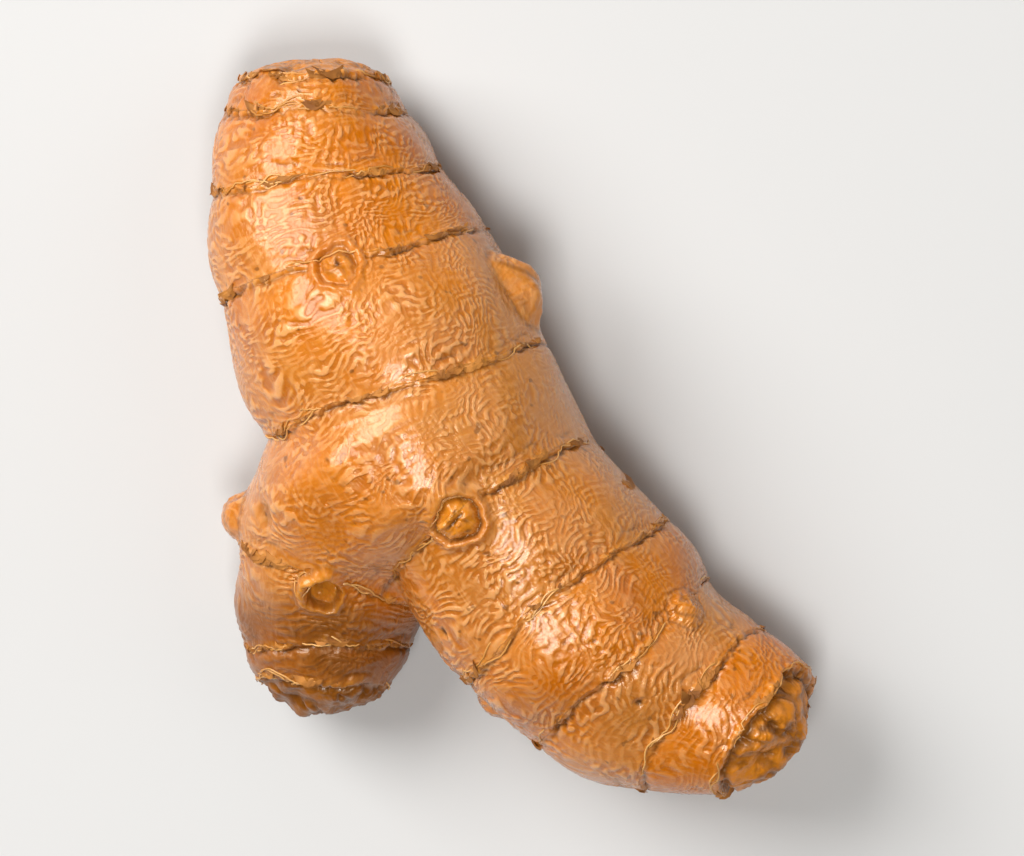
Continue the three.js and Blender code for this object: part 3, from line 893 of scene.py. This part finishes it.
def attribute(tree, name):
    return addNode(tree, "ShaderNodeAttribute", attribute_name=name)


def noiseOn(tree, vector, scale, detail):
    return addNode(tree, "ShaderNodeTexNoise", {"Vector": vector, "Scale": scale, "Detail": detail})


def setSockets(shader, values):
    for name, value in values.items():
        shader.inputs[name].default_value = value


# Skin colours. The valley colour is painted shade for the fold valleys; the pale one serves both the pale
# of real fibre streaks and painted highlights on the fold ridges.
skinTones = {
    "tan": (0.51, 0.182, 0.028), "blush": (0.57, 0.225, 0.06), "orange": (0.58, 0.162, 0.002),
    "amber": (0.46, 0.112, 0.001), "brown": (0.25, 0.078, 0.005), "line": (0.105, 0.034, 0.007),
    "lip": (0.64, 0.26, 0.03), "bud": (0.58, 0.19, 0.012), "scar": (0.62, 0.2, 0.008),
    "valleyPaintedShade": (0.36, 0.085, 0.002), "dust": (0.53, 0.195, 0.034), "paleFibreAndHighlight": (0.80, 0.42, 0.17),
    "umberAndShade": (0.15, 0.04, 0.001),
}
skinGloss = {
    "Subsurface Weight": 0.12, "Subsurface Radius": (1.0, 0.45, 0.12), "Subsurface Scale": 0.0012,
    "Specular IOR Level": 0.42, "Specular Tint": (1.0, 0.82, 0.55, 1),
    "Coat Weight": 0.38, "Coat Roughness": 0.16,
}
skinGrain = {
    "roughness": (0.22, 0.34), "mattRoughness": 0.12,  # scars and the browned end are duller
    "fibreStretch": (0.8, 2.0, 2.0), "fibreDrift": 3.0,
    "fine": 0.5, "fibres": 0.8, "folds": 1.15, "bumpStrength": 0.6, "bumpDistance": 0.14 * mm,
}


def skinMaterial():
    material, tree, shader = newMaterial("turmericSkin")
    tone = skinTones
    coords = addNode(tree, "ShaderNodeTexCoord").outputs["Object"]
    noise = lambda scale, detail=3.0: noiseOn(tree, coords, scale, detail).outputs["Fac"]
    fac = lambda name: attribute(tree, name).outputs["Fac"]
    vector = lambda name: attribute(tree, name).outputs["Vector"]
    patches = ramp(tree, noise(120.0), 0.38, 0.62, -0.35, 0.35)
    orange = addNode(tree, "ShaderNodeMath", {0: fac("orange"), 1: patches}, use_clamp=True).outputs[0]
    dull = colourMix(tree, ramp(tree, noise(70.0), 0.4, 0.62), tone["tan"], tone["blush"])
    bright = colourMix(tree, ramp(tree, noise(200.0), 0.4, 0.7), tone["orange"], tone["amber"])
    colour = colourMix(tree, orange, dull, bright)
    stain = ramp(tree, noise(95.0, 4.0), 0.55, 0.75, 0.0, 0.5)
    colour = colourMix(tree, stain, colour, tone["brown"])
    # the duller, greyer tone on the right flanks, weaker where the skin is orange
    rightDullness = times(tree, fac("dust"), ramp(tree, noise(160.0), 0.35, 0.6, 0.35, 0.85))
    rightDullness = times(tree, rightDullness, ramp(tree, orange, 0.3, 0.9, 1.0, 0.3))
    colour = colourMix(tree, rightDullness, colour, tone["dust"])
    folds = [foldPattern(tree, vector(name), wrinkles["Fold Size"], wrinkles["Seed"])
             for name in ("mainCoords", "sideCoords")]
    fold = blend(tree, fac("sideShare"), *folds)
    # how strongly folds show in colour and bump: less where the skin is calm, on the dull right flanks and
    # on the browned end, so the painted valley shade and ridge highlights fade there too
    lively = ramp(tree, fac("calm"), 0.0, 1.0, 1.0, 0.0)
    lively = times(tree, lively, ramp(tree, fac("dust"), 0.0, 1.0, 1.0, 0.45))
    lively = times(tree, lively, ramp(tree, fac("brown"), 0.0, 1.0, 1.0, 0.5))
    # painted shade in the fold valleys
    shade = times(tree, ramp(tree, fold, 0.0, 0.5, 0.65, 0.0), lively)
    colour = colourMix(tree, shade, colour, tone["valleyPaintedShade"])
    # painted highlights on the fold ridges, in the pale tone
    paintedRidgeHighlight = times(tree, ramp(tree, fold, 0.5, 0.95, 0.0, 0.5), lively)
    colour = colourMix(tree, paintedRidgeHighlight, colour, tone["paleFibreAndHighlight"])
    specks = ramp(tree, noise(900.0, 1.0), 0.7, 0.76, 0.0, 0.6)
    colour = colourMix(tree, specks, colour, tone["line"])
    scarTone = colourMix(tree, ramp(tree, noise(700.0, 4.0), 0.46, 0.68), tone["scar"], tone["brown"])
    colour = colourMix(tree, fac("scar"), colour, scarTone)
    # the side finger's browned end, in umber: partly its own brown stain, partly painted shade
    endBrownAndShade = times(tree, fac("brown"), ramp(tree, noise(210.0), 0.36, 0.62, 1.0, 0.7))
    colour = colourMix(tree, endBrownAndShade, colour, tone["umberAndShade"])
    colour = colourMix(tree, fac("bud"), colour, tone["bud"])
    colour = colourMix(tree, times(tree, fac("lip"), 0.6), colour, tone["lip"])
    colour = colourMix(tree, times(tree, fac("ringLine"), 0.9), colour, tone["line"])
    colour = colourMix(tree, fac("hollow"), colour, tone["line"])
    rough = ramp(tree, noise(320.0), 0.35, 0.65, *skinGrain["roughness"])
    matt = math2(tree, "MAXIMUM", fac("scar"), fac("brown"))
    rough = plus(tree, rough, times(tree, matt, skinGrain["mattRoughness"]))
    tree.links.new(rough, shader.inputs["Roughness"])
    parts = []
    for name in ("mainCoords", "sideCoords"):  # noise drawn out over each finger's own skin
        drawn = vectorMath(tree, "MULTIPLY", vector(name), skinGrain["fibreStretch"])
        drift = scaled(tree, noiseOn(tree, drawn, 0.3, 0.0).outputs["Color"], skinGrain["fibreDrift"])
        parts.append(noiseOn(tree, vectorMath(tree, "ADD", drawn, drift), 1.0, 2.0).outputs["Fac"])
    fibres = blend(tree, fac("sideShare"), *parts)
    streaks = times(tree, ramp(tree, fibres, 0.5, 0.68, 0.0, 0.2), ramp(tree, matt, 0.0, 1.0, 1.0, 0.3))
    colour = colourMix(tree, streaks, colour, tone["paleFibreAndHighlight"])
    tree.links.new(colour, shader.inputs["Base Color"])
    creases = math2(tree, "ABSOLUTE", math2(tree, "SUBTRACT", noise(1000.0, 1.0), 0.5), 0.0)
    relief = times(tree, noise(1900.0, 2.0), skinGrain["fine"])
    relief = plus(tree, relief, times(tree, fibres, skinGrain["fibres"]))
    relief = plus(tree, relief, creases)
    relief = plus(tree, relief, times(tree, fold, times(tree, lively, skinGrain["folds"])))
    bump = addNode(tree, "ShaderNodeBump", {
        "Strength": skinGrain["bumpStrength"], "Distance": skinGrain["bumpDistance"], "Height": relief})
    tree.links.new(bump.outputs[0], shader.inputs["Normal"])
    setSockets(shader, skinGloss)
    return material


def flakeMaterial():
    material, tree, shader = newMaterial("paperyScale")
    coords = addNode(tree, "ShaderNodeTexCoord").outputs["Object"]
    noise = noiseOn(tree, coords, 420.0, 3.0).outputs["Fac"]
    colour = colourMix(tree, ramp(tree, noise, 0.35, 0.65), *flakes["tones"])
    tree.links.new(colour, shader.inputs["Base Color"])
    setSockets(shader, {"Roughness": flakes["roughness"], "Specular IOR Level": flakes["specular"]})
    return material


def strandMaterial():
    material, tree, shader = newMaterial("driedFibre")
    coords = addNode(tree, "ShaderNodeTexCoord").outputs["Object"]
    noise = noiseOn(tree, coords, 260.0, 2.0).outputs["Fac"]
    colour = colourMix(tree, ramp(tree, noise, 0.4, 0.62), *strands["tones"])
    tree.links.new(colour, shader.inputs["Base Color"])
    rough = ramp(tree, noise, 0.35, 0.65, *strands["roughness"])
    tree.links.new(rough, shader.inputs["Roughness"])
    return material


skin = shapeRhizome()
print("rhizome shaped:", sum(len(p.vertices) - 2 for p in skin.data.polygons), "triangles")
runTree(skin, wrinkleTree(), {**wrinkles, "Material": skinMaterial()})
places = getPlaces(skin.data)
places[:, 2] = np.maximum(places[:, 2], 0)
setPlaces(skin.data, places)
skin.data.polygons.foreach_set("use_smooth", [True] * len(skin.data.polygons))
print("skin wrinkled")

flakeSource = linkPiece("flake", flakeMesh())
scales = runTree(flakeSeeds(skin), flakeTree(), {
    **flakes, "Flake": flakeSource, "Material": flakeMaterial()})
dropPiece(flakeSource)
print("ring flakes:", len(scales.data.polygons), "faces")
fibres = runTree(strandLines(skin), strandTree(), {**strands, "Material": strandMaterial()})
print("ring strands:", len(fibres.data.polygons), "faces")

for piece in (skin, scales, fibres):
    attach(piece, "root")
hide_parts("turmeric_root")

studio = {
    "away": 0.62, "sideways": 0.053, "upwards": 0.035,  # camera over the middle of a larger view
    "lens": 240.0, "aim": (0.0, 0.0, 0.009),
    "lights": [
        {"name": "key", "place": (-0.42, 0.31, 0.48), "size": 0.46, "power": 6.4},
        {"name": "top", "place": (0.035, -0.18, 0.8), "size": 0.25, "power": 4.2},
        {"name": "fill", "place": (0.5, 0.15, 0.45), "size": 0.5, "power": 0.8},
        {"name": "back", "place": (0.0, 0.6, 0.4), "size": 0.4, "power": 0.3},
    ],
    "world": 0.05, "worldTone": (1, 0.86, 0.68, 1),
    "floorReach": 2.0, "floorDrop": 0.0001, "floorTone": (0.54, 0.535, 0.525, 1), "floorRoughness": 0.7,
}


def aimAt(piece, target):
    # looks at the target, with +Y up in the picture
    back = (piece.location - Vector(target)).normalized()
    right = Vector((0, 1, 0)).cross(back).normalized()
    piece.rotation_euler = Matrix((right, back.cross(right), back)).transposed().to_euler()


def buildStudio():
    floorMesh = bpy.data.meshes.new("floor")
    reach = studio["floorReach"]
    corners = [(-reach, -reach, 0), (reach, -reach, 0), (reach, reach, 0), (-reach, reach, 0)]
    floorMesh.from_pydata(corners, [], [(0, 1, 2, 3)])
    floor = linkPiece("floor", floorMesh)
    floor.location.z = -studio["floorDrop"]
    material, _, shader = newMaterial("paleFloor")
    setSockets(shader, {"Base Color": studio["floorTone"], "Roughness": studio["floorRoughness"]})
    floorMesh.materials.append(material)
    for light in studio["lights"]:
        lamp = bpy.data.lights.new(light["name"], "AREA")
        lamp.shape, lamp.size, lamp.energy = "SQUARE", light["size"], light["power"]
        holder = linkPiece(light["name"], lamp)
        holder.location = light["place"]
        aimAt(holder, studio["aim"])
    world = bpy.data.worlds.new("softWorld")
    world.use_nodes = True
    background = world.node_tree.nodes["Background"]
    setSockets(background, {"Color": studio["worldTone"], "Strength": studio["world"]})
    bpy.context.scene.world = world
    bpy.context.scene.view_settings.view_transform = "Standard"  # keeps the skin's strong orange
    eye = bpy.data.cameras.new("camera")
    eye.lens = studio["lens"]
    eye.sensor_width = 36.0
    holder = linkPiece("camera", eye)
    holder.location = (studio["sideways"], studio["upwards"], studio["away"])
    aimAt(holder, studio["aim"])
    bpy.context.scene.camera = holder


buildStudio()
print("studio ready")
